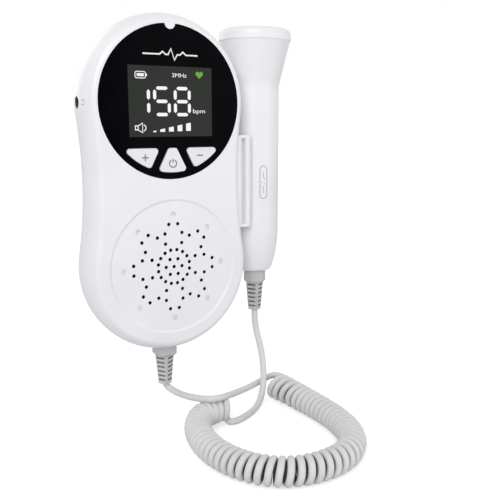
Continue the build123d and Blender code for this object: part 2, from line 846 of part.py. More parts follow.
# Bowed spring strips at the flat end of each cell
with BuildPart() as battery_springs:
    for side, foot_z in ((-1, bay_low_z + contact_t), (1, bay_top_z - contact_t)):
        x = side * cell_x
        with BuildSketch(level(cell_y)):
            with BuildLine():
                for shrink in (0, spring_t):
                    span = spring_half_span - shrink
                    top_z = foot_z - side * (spring_rise - shrink)
                    ThreePointArc((x - span, foot_z), (x, top_z), (x + span, foot_z))
                Line((x - spring_half_span, foot_z), (x - spring_half_span + spring_t, foot_z))
                Line((x + spring_half_span, foot_z), (x + spring_half_span - spring_t, foot_z))
            make_face()
        extrude(amount=spring_w / 2, both=True)
battery_springs.part.label = "battery_springs"
export_step(battery_springs.part, "parts/battery_springs.step")

with BuildPart() as case_screws:
    with BuildSketch(level(screw_seat_y)):
        with Locations(*screw_places):
            Circle(screw_head_r)
    extrude(amount=-screw_head_t)
    chamfer(case_screws.faces().group_by(Axis.Y)[-1].edges(), screw_edge)
    with BuildSketch(level(screw_seat_y)):
        with Locations(*screw_places):
            Circle(screw_r)
    extrude(amount=screw_length)
    chamfer(case_screws.faces().group_by(Axis.Y)[0].edges(), screw_edge)
case_screws.part.label = "case_screws"
export_step(case_screws.part, "parts/case_screws.step")

# Strain relief under the case: a block shaped to the case, and the ribbed sleeve below it
gland_low_z = gland_top_z - gland_block_t
with BuildPart() as unit_strain_relief:
    with BuildSketch(Plane((0, gland_y, gland_low_z))):
        RectangleRounded(gland_w, gland_w, gland_corner_r)
    extrude(amount=gland_flange_z - gland_low_z)
    chamfer(unit_strain_relief.faces().sort_by(Axis.Z)[0].edges(), gland_bevel)
    add(case_front, mode=Mode.SUBTRACT)
    add(case_rear, mode=Mode.SUBTRACT)
    add(ribbed_sleeve(0, gland_y, gland_low_z, sleeve_tip_z, sleeve_top_w, sleeve_low_w))
    # Neck through the wall, with a flange inside that keeps it in
    with BuildSketch(Plane((0, gland_y, gland_low_z + gland_block_t / 2))):
        Circle(gland_neck_r)
    extrude(amount=gland_flange_z - gland_low_z - gland_block_t / 2)
    with BuildSketch(Plane((0, gland_y, gland_flange_z))):
        Circle(gland_flange_r)
    extrude(amount=gland_flange_t)
unit_strain_relief.part.label = "unit_strain_relief"
export_step(unit_strain_relief.part, "parts/unit_strain_relief.step")

# Dock: a moulding along the right side of the case whose wings lie round the handle
rib_top_z = dock_top_z - dovetail_drop
rib_low_z = dock_low_z + dovetail_lift

with BuildPart() as probe_dock:
    hold_r = handle_r + dock_gap
    tip_x = probe_x - hold_r * sin(radians(dock_tip_angle))
    tip_y = hold_r * cos(radians(dock_tip_angle))
    with BuildSketch(Plane.XY.offset(dock_low_z)) as dock_section:
        for side in (-1, 1):
            with BuildLine():
                Polyline(
                    (dock_root_x, probe_y),
                    (dock_root_x, probe_y + side * dock_face),
                    (dock_lip_x, probe_y + side * dock_face),
                    (tip_x, probe_y + side * tip_y),
                    (tip_x, probe_y),
                    close=True,
                )
            make_face()
        with Locations((probe_x, probe_y)):
            Circle(hold_r, mode=Mode.SUBTRACT)
        lips = dock_section.vertices().filter_by_position(Axis.X, dock_groove_x, dock_lip_x)
        fillet(lips, dock_edge_r)
    extrude(amount=dock_h)
    # Grooves down the front and the back, closed at both ends
    with BuildSketch(Plane.XY.offset(dock_low_z + dock_cap)):
        with Locations(*[(dock_groove_x, probe_y + side * dock_face) for side in (-1, 1)]):
            Rectangle(dock_groove_w, 2 * dock_groove_depth)
    extrude(amount=dock_h - 2 * dock_cap, mode=Mode.SUBTRACT)
    # Round corners at both ends of the wings
    with BuildSketch(level(probe_y)) as dock_front:
        with Locations((dock_root_x, dock_low_z)):
            Rectangle(tip_x - dock_root_x, dock_h, align=(Align.MIN, Align.MIN))
        fillet(dock_front.vertices().group_by(Axis.X)[-1], dock_corner_r)
    extrude(amount=2 * dock_face, both=True, mode=Mode.INTERSECT)
    # Its back follows the side of the case
    add(case_front, mode=Mode.SUBTRACT)
    add(case_rear, mode=Mode.SUBTRACT)
    with BuildSketch(Plane.XY.offset(rib_low_z)):
        add(dovetail(0))
    extrude(amount=rib_top_z - rib_low_z)
    # Pegs through the side of the case
    with BuildSketch(Plane.YZ.offset(dock_peg_x)):
        with Locations(*[(probe_y, z) for z in dock_peg_zs]):
            Circle(dock_peg_r)
    extrude(amount=probe_x - handle_r - dock_gap - dock_peg_x)
probe_dock.part.label = "probe_dock"
export_step(probe_dock.part, "parts/probe_dock.step")

# Probe handle: a tube that flares to the head and tapers in a long arc to its foot
probe_axis = Axis((probe_x, probe_y, 0), (0, 0, 1))
probe_plane = Plane((probe_x, probe_y, 0), x_dir=(1, 0, 0), z_dir=(0, -1, 0))
foot_turn = degrees(asin((taper_top_z - handle_foot_z) / taper_r))
bore_low_z = handle_foot_z + handle_foot_wall
bore_turn = degrees(asin((taper_top_z - bore_low_z) / (taper_r - handle_wall)))
with BuildPart() as probe_handle:
    with BuildSketch(probe_plane) as handle_section:
        with BuildLine():
            taper = CenterArc((handle_r - taper_r, taper_top_z), taper_r, 0, -foot_turn)
            Polyline(
                taper @ 1,
                (0, handle_foot_z),
                (0, head_seam_z),
                (head_r - head_lap, head_seam_z),
                (handle_r, flare_low_z),
                taper @ 0,
            )
        make_face()
        fillet(handle_section.vertices().sort_by_distance(taper @ 1)[0], foot_edge_r)
        fillet(
            handle_section.vertices().sort_by_distance((handle_r, flare_low_z))[0], flare_blend_r
        )
    revolve(axis=probe_axis)
    # Hollow inside, wider at the top for the head's plug and the crystal
    with BuildSketch(probe_plane):
        with BuildLine():
            bore_r = handle_r - handle_wall
            bore = CenterArc(
                (handle_r - taper_r, taper_top_z), taper_r - handle_wall, 0, -bore_turn
            )
            Polyline(
                bore @ 1,
                (0, bore_low_z),
                (0, head_seam_z),
                (head_plug_r + head_gap, head_seam_z),
                (head_plug_r + head_gap, head_seam_z - head_plug_t - crystal_t),
                (bore_r, flare_low_z),
                bore @ 0,
            )
        make_face()
    revolve(axis=probe_axis, mode=Mode.SUBTRACT)
    # Slot down the left side that slides over the dock's dovetail
    with BuildSketch(Plane.XY.offset(rib_top_z + hang_gap)):
        add(dovetail(dovetail_gap))
    extrude(amount=handle_foot_z - rib_top_z - hang_gap, mode=Mode.SUBTRACT)
    with BuildSketch(Plane((probe_x, probe_y, handle_foot_z))):
        Circle(probe_neck_r + gland_gap)
    extrude(amount=handle_foot_wall, mode=Mode.SUBTRACT)
probe_handle.part.label = "probe_handle"
export_step(probe_handle.part, "parts/probe_handle.step")

# Head: the round sensing face, plugged into the top of the handle
with BuildPart() as probe_head:
    with BuildSketch(Plane((probe_x, probe_y, head_seam_z))):
        Circle(head_r)
    extrude(amount=head_t)
    fillet(probe_head.faces().sort_by(Axis.Z)[-1].edges(), head_edge_r)
    with BuildSketch(Plane((probe_x, probe_y, head_seam_z - head_plug_t))):
        Circle(head_plug_r)
    extrude(amount=head_plug_t)
probe_head.part.label = "probe_head"
export_step(probe_head.part, "parts/probe_head.step")

with BuildPart() as transducer_crystal:
    with BuildSketch(Plane((probe_x, probe_y, head_seam_z - head_plug_t - crystal_t))):
        Circle(crystal_r)
    extrude(amount=crystal_t)
transducer_crystal.part.label = "transducer_crystal"
export_step(transducer_crystal.part, "parts/transducer_crystal.step")

with BuildPart() as probe_board:
    with BuildSketch(Plane((probe_x, probe_y, taper_top_z))):
        Rectangle(probe_board_w, probe_board_t)
    extrude(amount=probe_board_length)
probe_board.part.label = "probe_board"
export_step(probe_board.part, "parts/probe_board.step")

# Strain relief of the probe: a collar under the handle's foot and a ribbed sleeve
collar_low_z = handle_foot_z - collar_t
with BuildPart() as probe_strain_relief:
    with BuildSketch(Plane((probe_x, probe_y, collar_low_z))):
        Circle(collar_r)
    extrude(amount=collar_t)
    chamfer(probe_strain_relief.faces().sort_by(Axis.Z)[0].edges(), collar_bevel)
    add(
        ribbed_sleeve(
            probe_x,
            probe_y,
            collar_low_z,
            probe_sleeve_tip_z,
            probe_sleeve_top_w,
            probe_sleeve_low_w,
        )
    )
    with BuildSketch(Plane((probe_x, probe_y, handle_foot_z))):
        Circle(probe_neck_r)
    extrude(amount=handle_foot_wall)
    with BuildSketch(Plane((probe_x, probe_y, bore_low_z))):
        Circle(probe_flange_r)
    extrude(amount=probe_flange_t)
probe_strain_relief.part.label = "probe_strain_relief"
export_step(probe_strain_relief.part, "parts/probe_strain_relief.step")

# Lead from the case: round under the sleeve, over the near end of the curly part, behind
# the probe's lead and into the far end of the curly part
unit_lead_points = [
    (0.0, gland_y, sleeve_tip_z),
    (0.0, -16.0, -120.2),
    (0.3, -16.8, -121.8),
    (0.9, -18.3, -122.9),
    (2.2, -21.6, -123.2),
    (4.8, -27.2, -122.2),
    (8.2, -33.0, -120.6),
    (14.2, -36.3, -120.2),
    (21.4, -36.3, -120.3),
    (29.6, -31.6, -122.2),
    (37.6, -24.6, -124.8),
    (44.4, -19.4, -126.0),
    (49.8, -17.4, -125.4),
    (53.4, -17.9, -124.8),
    (55.12, -19.73, -124.6),
    (55.39, -22.31, -124.6),
]

# Curly part: a loop on the floor in front of the case
curly_points = [
    (20.0, -35.2, -127.9),
    (9.5, -33.2, -127.9),
    (1.6, -42.0, -127.9),
    (-2.6, -55.5, -127.9),
    (-2.6, -69.5, -127.9),
    (1.6, -82.5, -127.9),
    (10.5, -92.2, -127.9),
    (24.0, -95.6, -127.9),
    (38.0, -93.2, -127.9),
    (48.3, -84.5, -127.9),
    (53.4, -71.6, -127.9),
    (55.0, -56.5, -127.9),
    (54.4, -40.0, -127.9),
    (52.6, -22.6, -127.9),
]

# Lead from the probe: down from its sleeve, then forward along the floor
probe_lead_points = [
    (probe_x, probe_y, probe_sleeve_tip_z - lead_end_gap),
    (45.8, -15.0, -99.0),
    (47.2, -15.6, -107.3),
    (48.4, -17.6, -115.4),
    (47.2, -21.2, -123.0),
    (43.4, -26.4, -129.4),
    (36.8, -32.9, -132.0),
    (28.52, -38.55, -131.8),
    (19.68, -36.87, -131.8),
]

cords = (
    ("unit_lead", unit_lead_points, lead_r),
    ("curly_cord", curly_points, curl_r),
    ("probe_lead", probe_lead_points, lead_r),
)
for name, points, section_r in cords:
    radii = bend_radii(points)
    with BuildPart() as cord:
        with BuildLine() as route:
            FilletPolyline(*points, radius=radii)
        with BuildSketch(Plane(points[0], z_dir=route.line % 0)):
            Circle(section_r)
        sweep()
    length = sum(edge.length for edge in route.edges())
    fill = cord.part.volume / (pi * section_r**2 * length)
    print(name, "length", round(length, 1), "volume / (section x length)", round(fill, 4))
    print("  bend radii", [round(radius, 1) for radius in radii])
    cord.part.label = name
    export_step(cord.part, "parts/" + name + ".step")
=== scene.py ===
from math import cos, exp, pi, radians, sin

import bmesh
import bpy
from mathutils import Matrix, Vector, kdtree


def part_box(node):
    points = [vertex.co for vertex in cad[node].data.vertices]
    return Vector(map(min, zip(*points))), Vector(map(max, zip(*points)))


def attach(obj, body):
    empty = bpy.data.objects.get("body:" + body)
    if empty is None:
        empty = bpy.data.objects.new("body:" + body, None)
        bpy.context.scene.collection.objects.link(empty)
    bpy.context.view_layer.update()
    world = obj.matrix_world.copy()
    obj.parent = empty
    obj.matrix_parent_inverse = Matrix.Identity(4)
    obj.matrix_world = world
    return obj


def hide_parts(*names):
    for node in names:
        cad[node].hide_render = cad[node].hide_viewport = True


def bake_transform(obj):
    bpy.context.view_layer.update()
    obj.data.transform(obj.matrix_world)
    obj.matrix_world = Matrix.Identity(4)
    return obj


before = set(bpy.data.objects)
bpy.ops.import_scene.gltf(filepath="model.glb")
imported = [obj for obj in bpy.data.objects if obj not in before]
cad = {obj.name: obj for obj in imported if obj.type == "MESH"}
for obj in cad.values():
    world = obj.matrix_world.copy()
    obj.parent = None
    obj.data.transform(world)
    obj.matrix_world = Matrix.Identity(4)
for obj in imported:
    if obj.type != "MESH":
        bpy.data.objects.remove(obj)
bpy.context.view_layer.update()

# ---------------------------------------------------------------- Table, light and camera
# A white table top in a white room, with one large soft lamp at the upper left and weak ones at
# the right, low in front and behind. The camera stands to the left and looks down a little.
mm = 0.001
table_z = -133.5 * mm
table_half_w = 3.0
object_middle = (0.02, 0, -0.06)

bpy.context.scene.view_settings.view_transform = "Standard"


def placed(name, data):
    """A new object with the given data, in the scene."""
    made = bpy.data.objects.new(name, data)
    bpy.context.scene.collection.objects.link(made)
    return made


camera_data = bpy.data.cameras.new("camera")
camera_data.lens = 50.4
camera_data.sensor_width = 36
camera = placed("camera", camera_data)
camera.location = (-0.11692, -0.27963, -0.00671)
camera.rotation_euler = (radians(79.5), 0, radians(-31.19))
bpy.context.scene.camera = camera


def lamp(name, place, size, power):
    """A square area lamp that faces the middle of the object."""
    data = bpy.data.lights.new(name, "AREA")
    data.size = size
    data.energy = power
    made = placed(name, data)
    made.location = place
    made.rotation_euler = (Vector(object_middle) - Vector(place)).to_track_quat("-Z", "Y").to_euler()


lamp("key_lamp", (-0.56, -0.68, 0.48), size=0.6, power=4.55)
lamp("fill_lamp", (0.75, -0.35, 0.25), size=0.6, power=0.5)
lamp("low_lamp", (0.42, -0.62, -0.06), size=0.4, power=0.65)
lamp("back_lamp", (-0.25, 0.85, 0.3), size=0.6, power=1.3)


def linear(hex_code):
    """An sRGB hex colour as the linear values that a shader takes."""
    channels = [int(hex_code[i : i + 2], 16) / 255 for i in (1, 3, 5)]
    return [c / 12.92 if c <= 0.04045 else ((c + 0.055) / 1.055) ** 2.4 for c in channels] + [1]


def node(tree, kind, sockets=None, ramp=(), **settings):
    """Adds a shader node. Each socket takes a value, or an output to link, or a node, whose first
    output in use is linked. A ramp is given as its two places with their hex colours."""
    made = tree.nodes.new("ShaderNode" + kind)
    for name, value in settings.items():
        setattr(made, name, value)
    for element, (position, hex_code) in zip(made.color_ramp.elements if ramp else (), ramp):
        element.position = position
        element.color = linear(hex_code)
    for name, value in (sockets or {}).items():
        if isinstance(value, bpy.types.Node):
            value = next(output for output in value.outputs if output.enabled)
        if isinstance(value, bpy.types.NodeSocket):
            tree.links.new(value, made.inputs[name])
        else:
            made.inputs[name].default_value = value
    return made


# The room lights the object softly. The camera, and what shines or is clear, sees it as white
world = bpy.data.worlds.new("room")
world.use_nodes = True
bpy.context.scene.world = world
tree = world.node_tree
tree.nodes.clear()
rays = node(tree, "LightPath")
seen = node(
    tree, "Math", {0: rays.outputs["Is Camera Ray"], 1: rays.outputs["Is Glossy Ray"]}, operation="MAXIMUM"
)
seen = node(tree, "Math", {0: seen, 1: rays.outputs["Is Transmission Ray"]}, operation="MAXIMUM")
lit_room = node(tree, "Background", {"Color": linear("#FEFEFF"), "Strength": 0.55})
white_room = node(tree, "Background", {"Color": (1, 1, 1, 1), "Strength": 1.0})
room = node(tree, "MixShader", {0: seen, 1: lit_room, 2: white_room})
node(tree, "OutputWorld", {"Surface": room})


def new_material(name):
    """A material without nodes, and its node tree."""
    made = bpy.data.materials.new(name)
    made.use_nodes = True
    made.node_tree.nodes.clear()
    return made, made.node_tree


def wear(obj, material):
    """Gives a piece one material."""
    obj.data.materials.clear()
    obj.data.materials.append(material)
    return obj


# Matt white lacquer, on which only the shadow shows. Its glow, which only the camera sees,
# grows away from the object, so that the table meets the room without an edge
near, near_glow = 0.2, 0.48
far, far_glow = 0.6, 0.7
lacquer, tree = new_material("white_table_lacquer")
away = node(tree, "VectorMath", {0: node(tree, "TexCoord").outputs["Object"]}, operation="LENGTH")
lift = node(
    tree,
    "MapRange",
    {"Value": away, "From Min": near, "From Max": far, "To Min": near_glow, "To Max": far_glow},
)
matt = node(tree, "BsdfDiffuse", {"Color": linear("#E8E8EA")})
glow = node(tree, "Emission", {"Color": (1, 1, 1, 1), "Strength": lift})
bright = node(tree, "AddShader", {0: matt, 1: glow})
top = node(tree, "MixShader", {0: node(tree, "LightPath").outputs["Is Camera Ray"], 1: matt, 2: bright})
node(tree, "OutputMaterial", {"Surface": top})

table_mesh = bpy.data.meshes.new("table_top")
corners = [(i * table_half_w, j * table_half_w, 0) for i, j in ((-1, -1), (1, -1), (1, 1), (-1, 1))]
table_mesh.from_pydata(corners, [], [(0, 1, 2, 3)])
table = wear(placed("table_top", table_mesh), lacquer)
table.location.z = table_z

# ---------------------------------------------------------------- Case, battery cover and dock
# Injection-moulded ABS in glossy white. Two halves meet on a fine groove round the sides and are
# held by four screws; the dock is pegged to the right side and the cover slides in at the back.
front_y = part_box("front_housing")[0].y
grille_z = -64.7 * mm
grille_floor_y = front_y + 0.5 * mm
holes_r, hole_edge = 19.5 * mm, 0.3 * mm
ring_start, ring_end, ring_edge = 20.5 * mm, 26 * mm, 0.5 * mm


def moulded_abs(name, shade, pale, roughness=0.3):
    """Glossy moulded ABS. The eye finds a faint orange peel from the tool, a fine spark finish
    that breaks up the gloss, and a colour that drifts by a shade over the part. The grit of a
    real spark finish is about 0.05 mm; it is drawn coarser, so that it shows."""
    peel_size, spark_size, flow_size = 2.4 * mm, 0.45 * mm, 26 * mm
    made, tree = new_material(name)
    place = node(tree, "TexCoord").outputs["Object"]
    peel = node(tree, "TexNoise", {"Vector": place, "Scale": 1 / peel_size})
    spark = node(
        tree, "TexNoise", {"Vector": place, "Scale": 1 / spark_size, "Detail": 3, "Roughness": 0.6}
    )
    flow = node(tree, "TexNoise", {"Vector": place, "Scale": 1 / flow_size})
    drift = node(tree, "ValToRGB", {"Fac": flow}, ramp=((0.35, shade), (0.65, pale)))
    smooth, rough = roughness - 0.04, roughness + 0.06
    gloss = node(
        tree,
        "MapRange",
        {"Value": spark, "From Min": 0.3, "From Max": 0.7, "To Min": smooth, "To Max": rough},
    )
    fine = node(tree, "Bump", {"Height": spark, "Strength": 0.05, "Distance": 0.02 * mm})
    wavy = node(tree, "Bump", {"Height": peel, "Strength": 0.12, "Distance": 0.03 * mm, "Normal": fine})
    shader = node(
        tree, "BsdfPrincipled", {"Base Color": drift, "Roughness": gloss, "IOR": 1.53, "Normal": wavy}
    )
    node(tree, "OutputMaterial", {"Surface": shader})
    return made, tree, shader


case_abs, tree, shader = moulded_abs("white_abs_case", "#EBEBEE", "#EFEFF1")
plain = shader.inputs["Base Color"].links[0].from_socket
place = node(tree, "TexCoord").outputs["Object"]
depth = node(tree, "SeparateXYZ", {0: place}).outputs["Y"]
from_axis = node(tree, "VectorMath", {0: place, 1: (0, 0, -grille_z)}, operation="ADD")
flat = node(tree, "VectorMath", {0: from_axis, 1: (1, 0, 1)}, operation="MULTIPLY")
radius = node(tree, "VectorMath", {0: flat}, operation="LENGTH")

# Painted shade: the walls of the speaker holes are coloured near-black. The mask takes what lies near the
# grille's middle and deeper than its floor
deep = node(
    tree,
    "MapRange",
    {"Value": depth, "From Min": grille_floor_y + 0.05 * mm, "From Max": grille_floor_y + 0.35 * mm},
)
inner = node(
    tree,
    "MapRange",
    {"Value": radius, "From Min": holes_r, "From Max": holes_r + hole_edge, "To Min": 1, "To Max": 0},
)
hole_shade_mask = node(tree, "Math", {0: deep, 1: inner}, operation="MULTIPLY")
# The near-black here is painted shade, not the colour of the plastic
hole_shaded = node(tree, "Mix", {"Factor": hole_shade_mask, "A": plain, "B": linear("#0B0B0D")}, data_type="RGBA")

# Painted shade: the eight dimples outside the holes are coloured a little darker
sunk = node(
    tree,
    "MapRange",
    {"Value": depth, "From Min": grille_floor_y + 0.02 * mm, "From Max": grille_floor_y + 0.25 * mm},
)
outside = node(
    tree, "MapRange", {"Value": radius, "From Min": ring_start, "From Max": ring_start + ring_edge}
)
within = node(
    tree,
    "MapRange",
    {"Value": radius, "From Min": ring_end, "From Max": ring_end + ring_edge, "To Min": 1, "To Max": 0},
)
ring = node(tree, "Math", {0: outside, 1: within}, operation="MULTIPLY")
dimple_shade_mask = node(tree, "Math", {0: sunk, 1: ring}, operation="MULTIPLY")
dimple_shaded = node(tree, "Mix", {"Factor": dimple_shade_mask, "A": hole_shaded, "B": linear("#DDDDE1")}, data_type="RGBA")
tree.links.new(dimple_shaded.outputs["Result"], shader.inputs["Base Color"])
wear(cad["front_housing"], case_abs)

back_abs = moulded_abs("white_abs_back", "#EAEAEC", "#EEEEEF")[0]
for name in ("rear_housing", "battery_cover", "probe_dock"):
    wear(cad[name], back_abs)

# ---------------------------------------------------------------- Display window
# A disc of black acrylic, cut from polished sheet and glued into the front. It is printed black
# behind, round the clear field of the display.
window_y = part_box("display_window")[0].y

# Polished acrylic: a deep even black with hardly any glare, and a few hairlines from wiping that
# blur what it mirrors
acrylic, tree = new_material("polished_black_acrylic")
place = node(tree, "TexCoord").outputs["Object"]
cloud = node(tree, "TexNoise", {"Vector": place, "Scale": 1 / (9 * mm)})
black = node(tree, "ValToRGB", {"Fac": cloud}, ramp=((0.3, "#020204"), (0.7, "#040507")))
drawn_out = node(tree, "Mapping", {"Vector": place, "Scale": (1, 1, 18)})
hairline = node(tree, "TexNoise", {"Vector": drawn_out, "Scale": 1 / (3 * mm), "Detail": 4})
polish = node(
    tree, "MapRange", {"Value": hairline, "From Min": 0.3, "From Max": 0.7, "To Min": 0.07, "To Max": 0.16}
)
shader = node(
    tree,
    "BsdfPrincipled",
    {"Base Color": black, "Roughness": polish, "IOR": 1.49, "Specular IOR Level": 0.02},
)
node(tree, "OutputMaterial", {"Surface": shader})
wear(cad["display_window"], acrylic)

# ---------------------------------------------------------------- Display panel
# The liquid crystal panel is two sheets of glass in a frame of black nylon, clipped to the
# circuit board behind the window.

# Float glass over a dark field: a hard clear shine on a grey that hardly varies
panel_glass, tree = new_material("dark_display_glass")
place = node(tree, "TexCoord").outputs["Object"]
cloud = node(tree, "TexNoise", {"Vector": place, "Scale": 1 / (6 * mm)})
dark = node(tree, "ValToRGB", {"Fac": cloud}, ramp=((0.3, "#1B1D1C"), (0.7, "#202221")))
shader = node(tree, "BsdfPrincipled", {"Base Color": dark, "Roughness": 0.08, "IOR": 1.52})
node(tree, "OutputMaterial", {"Surface": shader})
wear(cad["lcd_panel"], panel_glass)

# Moulded nylon: nearly black, its sheen mottled where it cooled unevenly
nylon, tree = new_material("moulded_black_nylon")
place = node(tree, "TexCoord").outputs["Object"]
mottle = node(tree, "TexNoise", {"Vector": place, "Scale": 1 / (0.6 * mm), "Detail": 3})
black = node(tree, "ValToRGB", {"Fac": mottle}, ramp=((0.3, "#38393B"), (0.7, "#444548")))
sheen = node(
    tree,
    "MapRange",
    {"Value": mottle, "From Min": 0.3, "From Max": 0.7, "To Min": 0.38, "To Max": 0.5},
)
shader = node(tree, "BsdfPrincipled", {"Base Color": black, "Roughness": sheen, "IOR": 1.53})
node(tree, "OutputMaterial", {"Surface": shader})
wear(cad["lcd_frame"], nylon)

# ---------------------------------------------------------------- Readout
# The lit picture of the display, seen through the clear field of the window: a dark grey field
# with white figures, bars and signs, and a green heart that blinks with the beat.
print_t = 0.02 * mm

# The picture and the signs are laid out in millimetres, from the middle of the window
screen_w, screen_h, screen_z = 35.1, 26.5, 0.3


def lit(name, hex_code):
    """A lit part of the display: it glows evenly behind glass. The fine grid of its pixels
    shows only close to."""
    pixel, dim = 0.22 * mm, 0.94
    dimmer = "#" + "".join("%02X" % int(int(hex_code[i : i + 2], 16) * dim) for i in (1, 3, 5))
    made, tree = new_material(name)
    place = node(tree, "TexCoord").outputs["Object"]
    cells = node(tree, "VectorMath", {0: place, 1: (pixel, 1, pixel)}, operation="DIVIDE")
    grid = node(tree, "TexChecker", {"Vector": cells, "Scale": 1.0}).outputs["Fac"]
    colour = node(tree, "ValToRGB", {"Fac": grid}, ramp=((0, dimmer), (1, hex_code)))
    glass = {"Base Color": linear("#050505"), "Roughness": 0.2, "IOR": 1.49, "Specular IOR Level": 0.02}
    shader = node(tree, "BsdfPrincipled", {**glass, "Emission Color": colour, "Emission Strength": 1.0})
    node(tree, "OutputMaterial", {"Surface": shader})
    return made


screen_grey = lit("screen_grey", "#343634")
screen_white = lit("screen_white", "#FFFFFF")
screen_green = lit("screen_green", "#6AB43C")


def plate(name, shapes, y, depth):
    """Flat closed plate from outlines in X and Z, in millimetres. Its back lies at y and its
    front stands out by depth. Outlines that share corners become one piece."""
    made = bmesh.new()
    for outline in shapes:
        made.faces.new([made.verts.new((x * mm, y, z * mm)) for x, z in outline])
    bmesh.ops.remove_doubles(made, verts=made.verts, dist=0.001 * mm)
    front = bmesh.ops.extrude_face_region(made, geom=made.faces[:])
    moved = [g for g in front["geom"] if isinstance(g, bmesh.types.BMVert)]
    bmesh.ops.translate(made, verts=moved, vec=(0, -depth, 0))
    bmesh.ops.recalc_face_normals(made, faces=made.faces)
    mesh = bpy.data.meshes.new(name)
    made.to_mesh(mesh)
    made.free()
    return placed(name, mesh)


def fixed(obj, material, body):
    """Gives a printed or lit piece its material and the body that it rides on."""
    wear(obj, material)
    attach(obj, body)
    return obj


def rectangle(x, z, width, height, corner=0.0, steps=4):
    """Outline of a rectangle round its centre, with round corners."""
    w, h = width / 2, height / 2
    if not corner:
        return [(x - w, z - h), (x + w, z - h), (x + w, z + h), (x - w, z + h)]
    points = []
    for i, j, start in ((1, 1, 0), (-1, 1, 90), (-1, -1, 180), (1, -1, 270)):
        for step in range(steps + 1):
            turn = radians(start + 90 * step / steps)
            across = x + i * (w - corner) + corner * cos(turn)
            up = z + j * (h - corner) + corner * sin(turn)
            points.append((across, up))
    return points


def stroke(points, width, closed=False):
    """Quads along a line of points: a printed line of even width."""
    left, right = [], []
    count = len(points)
    for i, (x, z) in enumerate(points):
        before = points[i - 1] if closed or i else points[i]
        after = points[(i + 1) % count] if closed or i < count - 1 else points[i]
        way_in = Vector((x - before[0], z - before[1])).normalized() if before != points[i] else None
        way_out = Vector((after[0] - x, after[1] - z)).normalized() if after != points[i] else None
        way = ((way_in or way_out) + (way_out or way_in)).normalized()
        reach = width / 2 / max(0.7, way.dot(way_in or way_out))
        left.append((x - way.y * reach, z + way.x * reach))
        right.append((x + way.y * reach, z - way.x * reach))
    last = count if closed else count - 1
    return [[left[i], right[i], right[(i + 1) % count], left[(i + 1) % count]] for i in range(last)]


def arc(x, z, r, start, end, steps=16):
    """Points along an arc, its angles in degrees from +X."""
    turns = [radians(start + (end - start) * i / steps) for i in range(steps + 1)]
    return [(x + r * cos(turn), z + r * sin(turn)) for turn in turns]


def readout(name, shapes, material, layer):
    """A part of the display's picture, on the given layer above the window."""
    obj = plate(name, shapes, window_y + print_t, print_t * (1 + layer))
    return fixed(obj, material, "main_unit")


readout("screen_field", [rectangle(0, screen_z, screen_w, screen_h)], screen_grey, 1)

# Seven-segment figures: bars with pointed ends that stand a little apart
figure_w, figure_h, figure_z = 6.0, 9.9, 0.4
bar_w = 1.28
bar_gap = 0.55
figure_bars = {
    "top": (-1, 1, 1, 1),
    "upper_left": (-1, 0, -1, 1),
    "upper_right": (1, 0, 1, 1),
    "middle": (-1, 0, 1, 0),
    "lower_left": (-1, -1, -1, 0),
    "lower_right": (1, -1, 1, 0),
    "bottom": (-1, -1, 1, -1),
}


def bar(x0, z0, x1, z1):
    """One bar between two corners of the figure, short of both, with a point at each end."""
    way = Vector((x1 - x0, z1 - z0)).normalized()
    half = Vector((-way.y, way.x)) * bar_w / 2
    first = Vector((x0, z0)) + way * bar_gap
    last = Vector((x1, z1)) - way * bar_gap
    point = way * bar_w / 2
    corners = [first, first + point + half, last - point + half]
    corners += [last, last - point - half, first + point - half]
    return [tuple(corner) for corner in corners]


def figure(x, dark=()):
    """A figure round its centre, with all its bars lit but the dark ones."""
    w, h = figure_w / 2, figure_h / 2
    bright = [ends for name, ends in figure_bars.items() if name not in dark]
    return [bar(x + a * w, figure_z + b * h, x + c * w, figure_z + d * h) for a, b, c, d in bright]


one = figure(-12.5, dark=("top", "upper_left", "middle", "lower_left", "bottom"))
five = figure(-3.95, dark=("upper_right", "lower_left"))
eight = figure(4.65)
readout("rate_figures", one + five + eight, screen_white, 2)

# Battery sign: a round-cornered case, its charge, and the knob at its end
battery_x, battery_z = -12.58, 10.06
battery = stroke(rectangle(battery_x, battery_z, 4.15, 2.35, 0.6), 0.32, closed=True)
battery += [rectangle(battery_x, battery_z, 2.85, 1.1, 0.1), rectangle(-10.15, battery_z, 0.45, 1.0)]
readout("battery_sign", battery, screen_white, 2)

# Loudspeaker sign: the outline of a driver and its horn, and one wave of sound
horn = [(-15.1, -8.8), (-15.1, -10.3), (-14.0, -10.3), (-12.2, -11.35), (-12.2, -7.75), (-14.0, -8.8)]
driver_edge = [(-14.0, -8.9), (-14.0, -10.2)]
wave = arc(-12.1, -9.55, 1.25, -70, 70, 8)
speaker_sign = stroke(horn, 0.38, closed=True) + stroke(driver_edge, 0.34) + stroke(wave, 0.38)
readout("loudspeaker_sign", speaker_sign, screen_white, 2)

# Five volume bars: they widen after the first, and their tops lie on one climbing line
bars_x, bars_z = -6.6, -11.2
bars_step, bars_rise = 3.68, 0.1
bars_w, first_bar_w = 2.05, 1.3
line_x, line_z, line_slope = -6.41, -10.5, 0.197


def volume_top(x):
    """Height of the line of the bars' tops."""
    return line_z + line_slope * (x - line_x)


volume_bars = []
for i in range(5):
    right = bars_x + bars_step * i
    left = right - (bars_w if i else first_bar_w)
    foot = bars_z + bars_rise * i
    volume_bars.append([(left, foot), (right, foot), (right, volume_top(right)), (left, volume_top(left))])
readout("volume_bars", volume_bars, screen_white, 2)

# Heart, from its usual parametric curve, which is 32 units wide
heart_x, heart_z, heart_w = 12.12, 10.75, 3.2
unit = heart_w / 32
turns = [2 * pi * i / 40 for i in range(40)]
heart = [
    (
        heart_x + unit * 16 * sin(t) ** 3,
        heart_z + unit * (13 * cos(t) - 5 * cos(2 * t) - 2 * cos(3 * t) - cos(4 * t)),
    )
    for t in turns
]
readout("beat_heart", [heart], screen_green, 2)

# Height of a capital in the built-in typeface, at size 1
capital_h = 0.729


